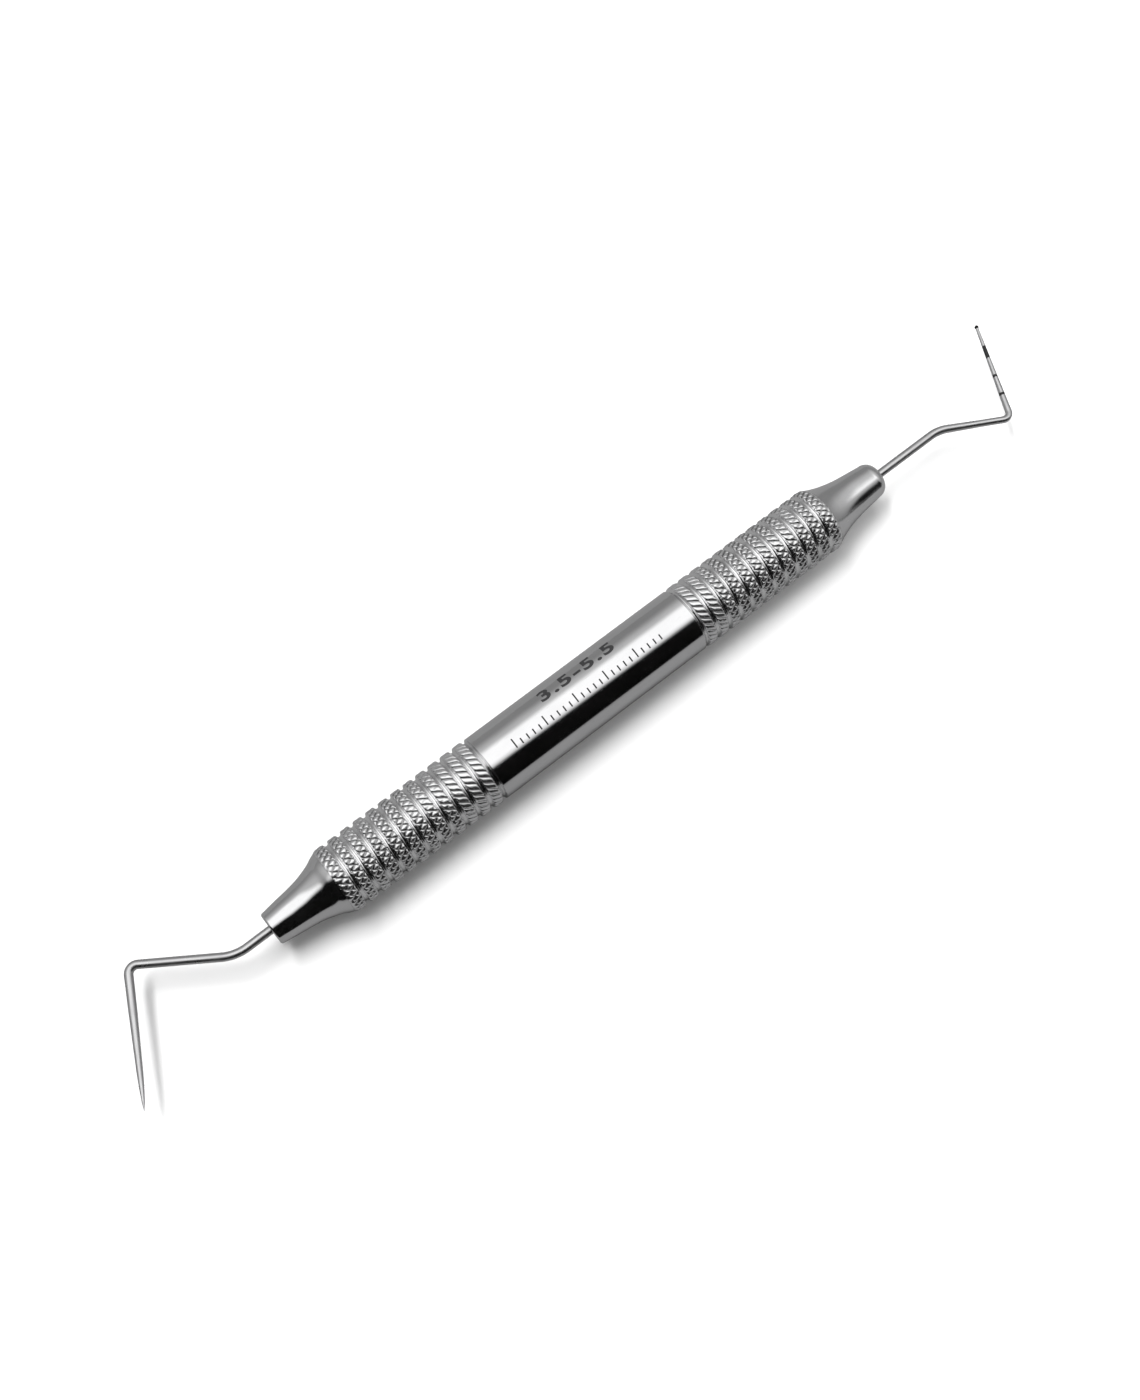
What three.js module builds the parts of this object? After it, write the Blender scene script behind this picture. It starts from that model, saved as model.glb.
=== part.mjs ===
import * as THREE from "three";

// A double-ended periodontal hand instrument: a pointed explorer at the -X end, a ball-ended
// graduated probe at the +X end, and between them a hollow handle with two knurled grips.
// Millimetres, +Z up. The handle's axis runs along X, the working ends lie level with it, and
// the grips rest on Z = 0. Stations along X are measured from the middle of the handle's
// barrel, and the whole is then moved so that the origin is halfway along the instrument.

// Handle
const SIDES = 36; // facets round the handle; one of them faces straight down
const BARREL_MIDDLE_AT = -1.4; // X of the barrel's middle
const GRIP_RADIUS = 4.8;
const BARREL_RADIUS = 4.73;
const SPIGOT_RADIUS = 3.9; // reduced ends of the barrel, under the grips
const TUBE_BORE_RADIUS = 3.2;
const BARREL_HALF = 17.12;
const GRIP_LENGTH = 24;
const GRIP_SEGMENTS = 12; // knurled bands of a grip, with a ring groove between neighbours
const GROOVE_HALF_WIDTH = 0.36;
const GROOVE_DEPTH = 0.5;
const CHAMFER = 0.15;
const CLEARANCE = 0.02; // between parts that are pressed together

// Cones
const CONE_PLUG_RADIUS = TUBE_BORE_RADIUS - CLEARANCE;
const CONE_PLUG_LENGTH = 6;
const TANG_BORE_RADIUS = 0.86;
const TANG_BORE_DEPTH = 7.4;
const EXPLORER_CONE_END = 50.9; // distance of each cone's outer end from the barrel's middle
const PROBE_CONE_END = 51.5;
const PROBE_DOME_START = 50;
const EXPLORER_EDGE_RADIUS = 0.34;
const EXPLORER_FACE_RADIUS = 2;

// Working ends
const WIRE_SIDES = 16;
const WIRE_RADIUS = 0.6;
const TANG_INNER_END = 44.2; // distance of each tang's inner end from the barrel's middle
const COLLAR_RADIUS = 0.83;
const COLLAR_INNER_END = 44.8;
const COLLAR_RECESS = 0.3; // how far the braze stops below the cone's mouth
const EXPLORER_PATH = [
  [-56.3, 0],
  [-67.6, 7.47],
  [-75.91, -8.81],
];
const EXPLORER_BEND_RADII = [6, 1.15];
const PROBE_PATH = [
  [62.9, 0],
  [72.26, -5.01],
  [78.46, 8.78],
];
const PROBE_BEND_RADII = [5.5, 1.1];
const BALL_RADIUS = 0.3;
const NECK_RADIUS = 0.22;
const BAND_FROM = 3.5; // the probe's graduations, measured from the ball's end
const BAND_TO = 5.5;
const RINGS_AT = [8.5, 11.5];
const RING_WIDTH = 0.4;
const MARK_DEPTH = 0.07;
const MARK_CLEARANCE = 0.008;

const AXIS_HEIGHT = GRIP_RADIUS * Math.cos(Math.PI / SIDES);

const instrument = new THREE.Group();
instrument.name = "periodontal_probe";

// Surfaces
const polished = { color: 0xc4c5c6, metalness: 1, roughness: 0.16 };
const knurled = { color: 0xb4b5b6, metalness: 1, roughness: 0.34 };
const wireSteel = { color: 0xb0b1b3, metalness: 1, roughness: 0.22 };
const braze = { color: 0xc9c2ae, metalness: 1, roughness: 0.4 };
const blackFill = { color: 0x0c0c0d, metalness: 0, roughness: 0.55 };

function addPart(name, geometry, surface) {
  geometry.translate(BARREL_MIDDLE_AT, 0, 0);
  const mesh = new THREE.Mesh(geometry, new THREE.MeshStandardMaterial(surface));
  mesh.name = name;
  instrument.add(mesh);
}

// A body of revolution. The profile is a list of [station, radius], and +Y of the lathe
// becomes +X of the part.
function turned(profile, sides) {
  const points = profile.map(([station, radius]) => new THREE.Vector2(radius, station));
  const geometry = new THREE.LatheGeometry(points, sides, Math.PI / sides);
  geometry.rotateZ(-Math.PI / 2);
  return geometry;
}

// The same profile at the other end of the handle.
function mirrored(profile) {
  return profile.map(([station, radius]) => [-station, radius]).reverse();
}

function onHandleAxis(geometry) {
  return geometry.translate(0, 0, AXIS_HEIGHT);
}

// Stations and radii of a smooth outline through a few given ones.
function smoothOutline(knots, divisions) {
  const curve = new THREE.SplineCurve(knots.map(([x, r]) => new THREE.Vector2(x, r)));
  return curve.getPoints(divisions).map((p) => [p.x, p.y]);
}

// A quarter of an ellipse from the station `from` (radius base + rise) to its far end.
function quarterRound(from, length, base, rise, steps) {
  const outline = [];
  for (let i = 1; i <= steps; i += 1) {
    const angle = (i / steps) * (Math.PI / 2);
    outline.push([from + length * Math.sin(angle), base + rise * Math.cos(angle)]);
  }
  return outline;
}

// Barrel: a tube whose ends are turned down into spigots for the grips.
const spigotEnd = BARREL_HALF + GRIP_LENGTH - 0.1;
const barrelProfile = [
  [-spigotEnd, TUBE_BORE_RADIUS],
  [-spigotEnd, SPIGOT_RADIUS - CHAMFER],
  [-spigotEnd + CHAMFER, SPIGOT_RADIUS],
  [-BARREL_HALF, SPIGOT_RADIUS],
  [-BARREL_HALF, BARREL_RADIUS - CHAMFER],
  [-BARREL_HALF + CHAMFER, BARREL_RADIUS],
  [BARREL_HALF - CHAMFER, BARREL_RADIUS],
  [BARREL_HALF, BARREL_RADIUS - CHAMFER],
  [BARREL_HALF, SPIGOT_RADIUS],
  [spigotEnd - CHAMFER, SPIGOT_RADIUS],
  [spigotEnd, SPIGOT_RADIUS - CHAMFER],
  [spigotEnd, TUBE_BORE_RADIUS],
  [-spigotEnd, TUBE_BORE_RADIUS],
];
addPart("barrel_tube", onHandleAxis(turned(barrelProfile, SIDES)), polished);

// Grip sleeve for the +X end: ring grooves of rounded section, and an outer shoulder that
// falls to the cone, given as knots of [distance from the sleeve's outer end, radius].
function gripProfile(shoulderKnots) {
  const inner = BARREL_HALF + CLEARANCE;
  const outer = BARREL_HALF + GRIP_LENGTH;
  const pitch = GRIP_LENGTH / GRIP_SEGMENTS;
  const bore = SPIGOT_RADIUS + CLEARANCE;
  const profile = [
    [inner, bore],
    [inner, GRIP_RADIUS - 1.5 * CHAMFER],
    [inner + CHAMFER, GRIP_RADIUS],
  ];
  for (let groove = 1; groove < GRIP_SEGMENTS; groove += 1) {
    const centre = BARREL_HALF + groove * pitch;
    for (let step = -2; step <= 2; step += 1) {
      const angle = (step * Math.PI) / 4;
      const radius = GRIP_RADIUS - GROOVE_DEPTH * Math.cos(angle);
      profile.push([centre + GROOVE_HALF_WIDTH * Math.sin(angle), radius]);
    }
  }
  const shoulder = smoothOutline(shoulderKnots.map(([back, r]) => [outer - back, r]), 6);
  profile.push(...shoulder, [outer, bore], [inner, bore]);
  return profile;
}
const probeGrip = gripProfile([[0.6, GRIP_RADIUS], [0.3, 4.7], [0, 4.53]]);
const explorerGrip = mirrored(gripProfile([[0.6, GRIP_RADIUS], [0.3, 4.72], [0, 4.58]]));
addPart("grip_sleeve_probe", onHandleAxis(turned(probeGrip, SIDES)), knurled);
addPart("grip_sleeve_explorer", onHandleAxis(turned(explorerGrip, SIDES)), knurled);

// Cones: each plugs into the tube, holds a grip sleeve against the barrel's shoulder, and has
// a blind bore for the wire's tang. Both profiles are written for the +X end.
const coneBase = BARREL_HALF + GRIP_LENGTH + CLEARANCE;
function coneProfile(end, outline) {
  return [
    [coneBase - CONE_PLUG_LENGTH, 0],
    [coneBase - CONE_PLUG_LENGTH, CONE_PLUG_RADIUS - 2 * CHAMFER],
    [coneBase - CONE_PLUG_LENGTH + 2 * CHAMFER, CONE_PLUG_RADIUS],
    [coneBase, CONE_PLUG_RADIUS],
    ...outline,
    [end, TANG_BORE_RADIUS],
    [end - TANG_BORE_DEPTH, TANG_BORE_RADIUS],
    [end - TANG_BORE_DEPTH, 0],
  ];
}
const edgeStart = EXPLORER_CONE_END - EXPLORER_EDGE_RADIUS;
const explorerOutline = [
  ...smoothOutline(
    [
      [coneBase, 4.55], [41.8, 4.27], [42.8, 3.79], [44.7, 3.19],
      [46.6, 2.86], [48.5, 2.63], [edgeStart, EXPLORER_FACE_RADIUS + EXPLORER_EDGE_RADIUS],
    ],
    12,
  ),
  ...quarterRound(
    edgeStart, EXPLORER_EDGE_RADIUS, EXPLORER_FACE_RADIUS, EXPLORER_EDGE_RADIUS, 4,
  ),
];
const domeRadius = 2.57;
const domeFace = 1.2;
const probeOutline = [
  ...smoothOutline(
    [
      [coneBase, 4.5], [41.8, 4.25], [42.7, 3.86], [43.7, 3.58], [44.8, 3.3], [46.2, 3.03],
      [47.7, 2.86], [49, 2.72], [PROBE_DOME_START, domeRadius],
    ],
    12,
  ),
  ...quarterRound(
    PROBE_DOME_START, PROBE_CONE_END - PROBE_DOME_START, domeFace, domeRadius - domeFace, 6,
  ),
];
const explorerCone = mirrored(coneProfile(EXPLORER_CONE_END, explorerOutline));
const probeCone = coneProfile(PROBE_CONE_END, probeOutline);
addPart("cone_explorer", onHandleAxis(turned(explorerCone, SIDES)), polished);
addPart("cone_probe", onHandleAxis(turned(probeCone, SIDES)), polished);

// Centre line of a bent wire, level with the handle's axis: straight runs joined by arcs.
function bentLine(start, corners, bendRadii) {
  const at = ([x, y]) => new THREE.Vector3(x, y, AXIS_HEIGHT);
  const vertices = [at(start), ...corners.map(at)];
  const pieces = [];
  let from = vertices[0];
  bendRadii.forEach((bendRadius, i) => {
    const corner = vertices[i + 1];
    const into = corner.clone().sub(vertices[i]).normalize();
    const away = vertices[i + 2].clone().sub(corner).normalize();
    const turn = into.angleTo(away);
    const setBack = bendRadius * Math.tan(turn / 2);
    const arcStart = corner.clone().addScaledVector(into, -setBack);
    const side = away.clone().addScaledVector(into, -away.dot(into)).normalize();
    pieces.push({ from, along: into, length: arcStart.distanceTo(from) });
    pieces.push({ from: arcStart, along: into, side, bendRadius, length: bendRadius * turn });
    from = corner.clone().addScaledVector(away, setBack);
  });
  const last = vertices[vertices.length - 1];
  const along = last.clone().sub(from).normalize();
  pieces.push({ from, along, length: last.distanceTo(from) });
  return pieces;
}

function lineLength(pieces) {
  return pieces.reduce((sum, piece) => sum + piece.length, 0);
}

// Where each bend starts and ends, as distances along the centre line.
function bendSpans(pieces) {
  const spans = [];
  let before = 0;
  pieces.forEach((piece) => {
    if (piece.bendRadius) spans.push([before, before + piece.length]);
    before += piece.length;
  });
  return spans;
}

// Point and direction of the centre line at a distance from its start. Distances outside the
// line run on along its first or last straight.
function frameAt(pieces, distance) {
  let rest = distance;
  let index = 0;
  while (index < pieces.length - 1 && rest > pieces[index].length) {
    rest -= pieces[index].length;
    index += 1;
  }
  const { from, along, side, bendRadius } = pieces[index];
  if (!bendRadius) return { point: from.clone().addScaledVector(along, rest), along };
  const angle = rest / bendRadius;
  const point = from.clone()
    .addScaledVector(along, bendRadius * Math.sin(angle))
    .addScaledVector(side, bendRadius * (1 - Math.cos(angle)));
  const tangent = along.clone().multiplyScalar(Math.cos(angle));
  tangent.addScaledVector(side, Math.sin(angle));
  return { point, along: tangent };
}

// A turned body bent along a centre line: its X becomes the distance along the line.
function bent(geometry, pieces) {
  const up = new THREE.Vector3(0, 0, 1);
  const position = geometry.getAttribute("position");
  for (let i = 0; i < position.count; i += 1) {
    const { point, along } = frameAt(pieces, position.getX(i));
    const across = new THREE.Vector3().crossVectors(up, along);
    point.addScaledVector(across, position.getY(i)).addScaledVector(up, position.getZ(i));
    position.setXYZ(i, point.x, point.y, point.z);
  }
  return geometry;
}

// Radius between given [distance, radius] knots.
function radiusFrom(knots, distance) {
  let i = 1;
  while (i < knots.length - 1 && knots[i][0] < distance) i += 1;
  const [d0, r0] = knots[i - 1];
  const [d1, r1] = knots[i];
  return THREE.MathUtils.clamp((distance - d0) / (d1 - d0), 0, 1) * (r1 - r0) + r0;
}

// Extra stations where the centre line bends, so that the bends come out round.
function withBendStations(distances, pieces, perBend) {
  const all = [...distances];
  bendSpans(pieces).forEach(([from, to], bend) => {
    for (let i = 0; i <= perBend[bend]; i += 1) {
      all.push(from + ((to - from) * i) / perBend[bend]);
    }
  });
  return all.sort((a, b) => a - b).filter((d, i, list) => i === 0 || d - list[i - 1] > 0.02);
}

// Explorer: a straight tang, a shallow bend, a sharp elbow and a long taper to a point.
const explorerLine = bentLine([-TANG_INNER_END, 0], EXPLORER_PATH, EXPLORER_BEND_RADII);
const explorerLength = lineLength(explorerLine);
const explorerTaper = [
  [0, WIRE_RADIUS],
  [explorerLength - 17.2, WIRE_RADIUS],
  [explorerLength - 13, 0.56],
  [explorerLength - 9, 0.49],
  [explorerLength - 5, 0.41],
  [explorerLength - 3.1, 0.34],
  [explorerLength - 1.1, 0.19],
  [explorerLength, 0],
];
const explorerStations = withBendStations(
  explorerTaper.slice(1, -1).map(([distance]) => distance), explorerLine, [8, 12],
);
const explorerWire = [
  [0, 0],
  [0, WIRE_RADIUS - CHAMFER],
  [CHAMFER, WIRE_RADIUS],
  ...explorerStations.map((d) => [d, radiusFrom(explorerTaper, d)]),
  [explorerLength, 0],
];
addPart("explorer_tip", bent(turned(explorerWire, WIRE_SIDES), explorerLine), wireSteel);

// Probe: the same shank, tapering past its elbow to a ball. The graduations are shallow
// recesses round the wire that hold separate black fillings.
const probeLine = bentLine([TANG_INNER_END, 0], PROBE_PATH, PROBE_BEND_RADII);
const ballCentre = lineLength(probeLine);
const probeEnd = ballCentre + BALL_RADIUS;
const probeTaper = [
  [0, WIRE_RADIUS],
  [ballCentre - 25, WIRE_RADIUS],
  [ballCentre - 19, 0.5],
  [ballCentre - 14.5, 0.49],
  [probeEnd - 11.5, 0.42],
  [probeEnd - 8.5, 0.35],
  [probeEnd - 4.5, 0.285],
  [probeEnd - 0.9, NECK_RADIUS],
  [probeEnd, NECK_RADIUS],
];
const marks = [
  { name: "mark_band_3_5_to_5_5", from: probeEnd - BAND_TO, to: probeEnd - BAND_FROM },
  ...RINGS_AT.map((at) => ({
    name: `mark_ring_${String(at).replace(".", "_")}`,
    from: probeEnd - at - RING_WIDTH / 2,
    to: probeEnd - at + RING_WIDTH / 2,
  })),
].sort((a, b) => a.from - b.from);
const probeRadius = (distance) => radiusFrom(probeTaper, distance);
const recessed = ({ from, to }) => [
  [from, probeRadius(from)],
  [from, probeRadius(from) - MARK_DEPTH],
  [to, probeRadius(to) - MARK_DEPTH],
  [to, probeRadius(to)],
];
const plainStations = withBendStations(
  [ballCentre - 25, ballCentre - 19, ballCentre - 14.5], probeLine, [8, 10],
);
const neckAngle = Math.asin(NECK_RADIUS / BALL_RADIUS);
const ball = [];
for (let i = 0; i <= 8; i += 1) {
  const angle = Math.PI - neckAngle - (i / 8) * (Math.PI - neckAngle);
  const radius = i === 8 ? 0 : BALL_RADIUS * Math.sin(angle);
  ball.push([ballCentre + BALL_RADIUS * Math.cos(angle), radius]);
}
const probeWire = [
  [0, 0],
  [0, WIRE_RADIUS - CHAMFER],
  [CHAMFER, WIRE_RADIUS],
  ...plainStations.map((d) => [d, probeRadius(d)]),
  ...marks.flatMap(recessed),
  [probeEnd - 0.9, NECK_RADIUS],
  ...ball,
];
addPart("probe_tip", bent(turned(probeWire, WIRE_SIDES), probeLine), wireSteel);

for (const { name, from, to } of marks) {
  const [start, end] = [from + MARK_CLEARANCE, to - MARK_CLEARANCE];
  const floor = MARK_DEPTH - MARK_CLEARANCE;
  const filling = [
    [start, probeRadius(start) - floor],
    [start, probeRadius(start)],
    [end, probeRadius(end)],
    [end, probeRadius(end) - floor],
    [start, probeRadius(start) - floor],
  ];
  addPart(name, bent(turned(filling, WIRE_SIDES), probeLine), blackFill);
}

// Braze collars: the filler that holds each tang in its cone, ending in a dished front.
function collarProfile(coneEnd) {
  const bore = WIRE_RADIUS + 0.02;
  const front = coneEnd - COLLAR_RECESS;
  return [
    [COLLAR_INNER_END, bore],
    [COLLAR_INNER_END, COLLAR_RADIUS],
    [front, COLLAR_RADIUS],
    [front - 0.12, (COLLAR_RADIUS + bore) / 2],
    [front - 0.02, bore],
    [COLLAR_INNER_END, bore],
  ];
}
const explorerCollar = mirrored(collarProfile(EXPLORER_CONE_END));
const probeCollar = collarProfile(PROBE_CONE_END);
addPart("braze_collar_explorer", onHandleAxis(turned(explorerCollar, WIRE_SIDES)), braze);
addPart("braze_collar_probe", onHandleAxis(turned(probeCollar, WIRE_SIDES)), braze);

export default instrument;
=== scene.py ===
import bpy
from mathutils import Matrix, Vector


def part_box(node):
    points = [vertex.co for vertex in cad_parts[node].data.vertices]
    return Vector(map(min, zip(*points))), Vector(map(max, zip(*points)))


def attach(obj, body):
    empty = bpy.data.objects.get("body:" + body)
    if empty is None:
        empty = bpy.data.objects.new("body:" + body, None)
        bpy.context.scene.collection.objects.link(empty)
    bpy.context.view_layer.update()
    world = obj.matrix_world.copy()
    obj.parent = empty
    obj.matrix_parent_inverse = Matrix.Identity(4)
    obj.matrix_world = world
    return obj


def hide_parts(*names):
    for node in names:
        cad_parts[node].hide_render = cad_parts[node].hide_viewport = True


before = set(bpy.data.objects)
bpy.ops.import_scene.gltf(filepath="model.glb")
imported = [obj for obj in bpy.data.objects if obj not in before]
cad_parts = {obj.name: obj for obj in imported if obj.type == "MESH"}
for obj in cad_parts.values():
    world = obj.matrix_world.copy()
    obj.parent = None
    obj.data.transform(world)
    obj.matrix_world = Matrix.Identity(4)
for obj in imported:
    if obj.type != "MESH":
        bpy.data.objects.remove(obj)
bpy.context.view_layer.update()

import math

import bmesh
import bpy
import numpy as np
from mathutils import Quaternion, Vector

# A double-ended periodontal probe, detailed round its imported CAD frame. The handle's axis
# runs along X. Sizes are in millimetres, and stations along X are measured from the middle of
# the barrel, until make_piece() turns them into metres in the part's frame. Angles round the
# axis are measured from straight up towards -Y.

MM = 0.001


def node_box(node):
    low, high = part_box(node)
    return low / MM, high / MM


GRIP_LOW, GRIP_HIGH = node_box("grip_sleeve_probe")
AXIS = (GRIP_LOW.z + GRIP_HIGH.z) / 2
CREST = (GRIP_HIGH.z - GRIP_LOW.z) / 2  # radius of the knurl's crests, which the grips rest on
BARREL_LOW, BARREL_HIGH = node_box("barrel_tube")
BARREL_MIDDLE = (BARREL_LOW.x + BARREL_HIGH.x) / 2

# Handle
FIT = 0.02  # gap between pressed parts
BARREL_RADIUS = 4.71
BARREL_HALF = 17.12
BARREL_EDGE = 0.03  # rounding of the barrel's corners
SPIGOT_RADIUS = 3.9
SPIGOT_SHORTER = 0.1  # how far a spigot stops short of its grip's end
TUBE_BORE_RADIUS = 3.2
GRIP_LENGTH = 24
GRIP_SEGMENTS = 12
GRIP_PITCH = GRIP_LENGTH / GRIP_SEGMENTS
GRIP_BORE_RADIUS = SPIGOT_RADIUS + FIT
GROOVE_HALF_WIDTH = 0.36
GROOVE_DEPTH = 0.48
BARREL_GROOVE_DEPTH = GROOVE_DEPTH - (CREST - BARREL_RADIUS)

# Knurl
RIBS = 30
RIB_ANGLE = math.radians(35.5)  # between a rib and the handle's axis
RIB_LEAD = math.tan(RIB_ANGLE) / CREST  # radians round the axis for each millimetre along it
RIB_DEPTH = 0.165
DEEPEST = 1.3 * RIB_DEPTH
CROSSED_WANDER = 0.6  # how much the second family comes and goes
DEPTH_WANDER = 0.24
LAND_EDGE_WIDTH, LAND_EDGE_DEPTH = 0.16, 0.07  # rounding of a band towards its groove
OUTER_FADE = 0.45  # the knurl runs out over this much at the cone
COLUMNS_PER_RIB = 11
COLUMNS = RIBS * COLUMNS_PER_RIB
ROWS_PER_GROOVE = 8
ROWS_PER_LAND = 14

# Cones
CONE_BASE = BARREL_HALF + GRIP_LENGTH + FIT
PLUG_RADIUS = TUBE_BORE_RADIUS - FIT
PLUG_LENGTH = 6
PLUG_EDGE = 0.3
TANG_BORE_RADIUS = 0.86
TANG_BORE_DEPTH = 7.4
TANG_BORE_CHAMFER = 0.06
EXPLORER_CONE_END = 50.9
EXPLORER_CONE_FACE, EXPLORER_CONE_EDGE = 2.0, 0.34
EXPLORER_CONE_SIDE = [  # station and radius
    (CONE_BASE, 4.53), (41.8, 4.26), (42.8, 3.78), (44.7, 3.19), (46.6, 2.86), (48.5, 2.63),
    (EXPLORER_CONE_END - EXPLORER_CONE_EDGE, EXPLORER_CONE_FACE + EXPLORER_CONE_EDGE),
]
PROBE_CONE_END = 51.5
PROBE_DOME_START, PROBE_DOME_RADIUS, PROBE_CONE_FACE = 50, 2.57, 1.2
PROBE_CONE_SIDE = [
    (CONE_BASE, 4.5), (41.9, 4.16), (42.9, 3.79), (44.2, 3.41), (45.8, 3.08), (47.6, 2.84),
    (PROBE_DOME_START, PROBE_DOME_RADIUS),
]

# Working ends
WIRE_RADIUS = 0.6
TANG_INNER_END = 44.2
TANG_INNER_FACE = [(0, 0), (0, WIRE_RADIUS - 0.15), (0.15, WIRE_RADIUS)]
EXPLORER_PATH = [(-TANG_INNER_END, 0), (-56.3, 0), (-67.6, 7.47), (-75.91, -8.81)]
EXPLORER_BEND_RADII = [6, 1.15]
PROBE_PATH = [(TANG_INNER_END, 0), (62.9, 0), (72.26, -5.01), (78.46, 8.78)]
PROBE_BEND_RADII = [5.5, 1.1]
BALL_RADIUS = 0.294
NECK_RADIUS = 0.22
MARKS = {  # piece: CAD node, and distances from the ball's end
    "band_3_5_to_5_5": ("mark_band_3_5_to_5_5", 3.5, 5.5),
    "ring_8_5": ("mark_ring_8_5", 8.3, 8.7),
    "ring_11_5": ("mark_ring_11_5", 11.3, 11.7),
}
MARK_DEPTH = 0.07
MARK_GAP = 0.008
COLLAR_RADIUS = 0.83
COLLAR_INNER_END = 44.8
COLLAR_RECESS = 0.3
COLLAR_DISH = 0.12  # depth of the braze's hollow front

# Markings on the barrel
SCALE_FROM, SCALE_TO = -12.5, 12
SCALE_ANGLE = math.radians(10)
TICK_WIDTH = 0.2
TICK_FOOT, TICK_TOP, LONG_TICK_TOP = -0.7, 0.1, 0.7
NUMBER = "3.5-5.5"
NUMBER_MIDDLE, NUMBER_LENGTH, NUMBER_HEIGHT = -0.15, 12.1, 1.9
NUMBER_ANGLE = math.radians(-27)
MARKING_PROUD, MARKING_THICK = 0.006, 0.02
STRIPS = 8  # flat strips across a marking, so that it follows the barrel

# Studio
CAMERA_AZIMUTH = math.radians(-38.387)
CAMERA_ELEVATION = math.radians(70.75)
CAMERA_DISTANCE = 224.75
CAMERA_TARGET = (-3.646, 0.628, AXIS)
CAMERA_LENS = 43.714
FLOOR_HALF = 0.3  # metres
AMBIENT = 0.3  # share of plain light that reaches the floor from all round
SOFTBOX_GLOW = 1.4
LIGHTS = (  # name, direction, distance and size in metres, watts, turn
    ("softbox", (0, 0.42, 1), 2.0, (1.9, 1.9), 34, 0),
    ("key", (-0.14, 0.36, 1), 2.0, (0.3, 1.2), 26, math.radians(-53)),
    ("probe_fill", (0.12, -0.03, 0.07), 0.142, (0.06, 0.06), 0.035, 0),
)

# Finishes
STEEL = (0.70, 0.70, 0.705)


# ---------------------------------------------------------------- outlines

def smooth_outline(knots, count):
    """Points on a Catmull-Rom curve through the knots."""
    ends = [knots[0], *knots, knots[-1]]
    outline = []
    for i in range(count + 1):
        at = (len(knots) - 1) * i / count
        k = min(int(at), len(knots) - 2)
        t = at - k
        p0, p1, p2, p3 = (np.array(p, float) for p in ends[k:k + 4])
        a, b = (p2 - p0) / 2, (p3 - p1) / 2
        point = ((2 * p1 - 2 * p2 + a + b) * t ** 3
                 + (-3 * p1 + 3 * p2 - 2 * a - b) * t ** 2 + a * t + p1)
        outline.append(tuple(point))
    return outline


def quarter_round(start, length, base, rise, steps):
    """A quarter of an ellipse from station `start`, radius base + rise, to radius base."""
    turns = [math.pi / 2 * i / steps for i in range(1, steps + 1)]
    return [(start + length * math.sin(a), base + rise * math.cos(a)) for a in turns]


def with_round_edges(corners, edge, steps=4):
    """The outline with each corner cut by a small curve that starts `edge` away from it."""
    out = []
    for i, corner in enumerate(corners):
        if i in (0, len(corners) - 1):
            out.append(corner)
            continue
        here, before, after = (np.array(corners[k], float) for k in (i, i - 1, i + 1))
        back, on = before - here, after - here
        back_length, on_length = np.linalg.norm(back), np.linalg.norm(on)
        reach = min(edge, back_length / 2.5, on_length / 2.5)
        first = here + back / back_length * reach
        last = here + on / on_length * reach
        for step in range(steps + 1):
            t = step / steps
            out.append(tuple((1 - t) ** 2 * first + 2 * t * (1 - t) * here + t ** 2 * last))
    return out


def mirrored(outline):
    return [(-x, r) for x, r in reversed(outline)]


# ---------------------------------------------------------------- bent wires

def centre_line(path, bend_radii):
    """Straights and arcs of a wire that lies level with the handle's axis."""
    corners = [Vector((x, y, 0)) for x, y in path]
    pieces = []
    start = corners[0]
    for i, bend in enumerate(bend_radii):
        corner = corners[i + 1]
        into = (corner - corners[i]).normalized()
        away = (corners[i + 2] - corner).normalized()
        turn = into.angle(away)
        set_back = bend * math.tan(turn / 2)
        side = (away - into * away.dot(into)).normalized()
        arc = corner - into * set_back
        pieces.append((start, into, None, 0, (arc - start).length))
        pieces.append((arc, into, side, bend, bend * turn))
        start = corner + away * set_back
    along = (corners[-1] - start).normalized()
    pieces.append((start, along, None, 0, (corners[-1] - start).length))
    return pieces


def line_length(pieces):
    return sum(piece[4] for piece in pieces)


def place_on(pieces, distance):
    """Point and direction of the centre line at a distance from its start."""
    for start, along, side, bend, length in pieces:
        if distance <= length:
            break
        distance -= length
    else:
        distance += length
    if side is None:
        return start + along * distance, along
    a = distance / bend
    point = start + along * (bend * math.sin(a)) + side * (bend * (1 - math.cos(a)))
    return point, along * math.cos(a) + side * math.sin(a)


def bend_along(points, pieces):
    """Points of a straight turned body, whose X becomes the distance along the wire."""
    bent = np.empty_like(points)
    frames = {}
    for i, (x, y, z) in enumerate(points):
        key = round(float(x), 6)
        if key not in frames:
            frames[key] = place_on(pieces, key)
        centre, along = frames[key]
        bent[i] = (centre.x - along.y * y, centre.y + along.x * y, z)
    return bent


def stations(pieces, step, extra):
    """Distances along the wire: every `step`, closer in the bends, and the extra ones."""
    total = line_length(pieces)
    marks = list(np.arange(step, total, step)) + list(extra)
    before = 0
    for *_, bend, length in pieces:
        if bend:
            marks += list(np.linspace(before, before + length, 28))
        before += length
    return sorted(marks)


# ---------------------------------------------------------------- meshes

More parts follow.
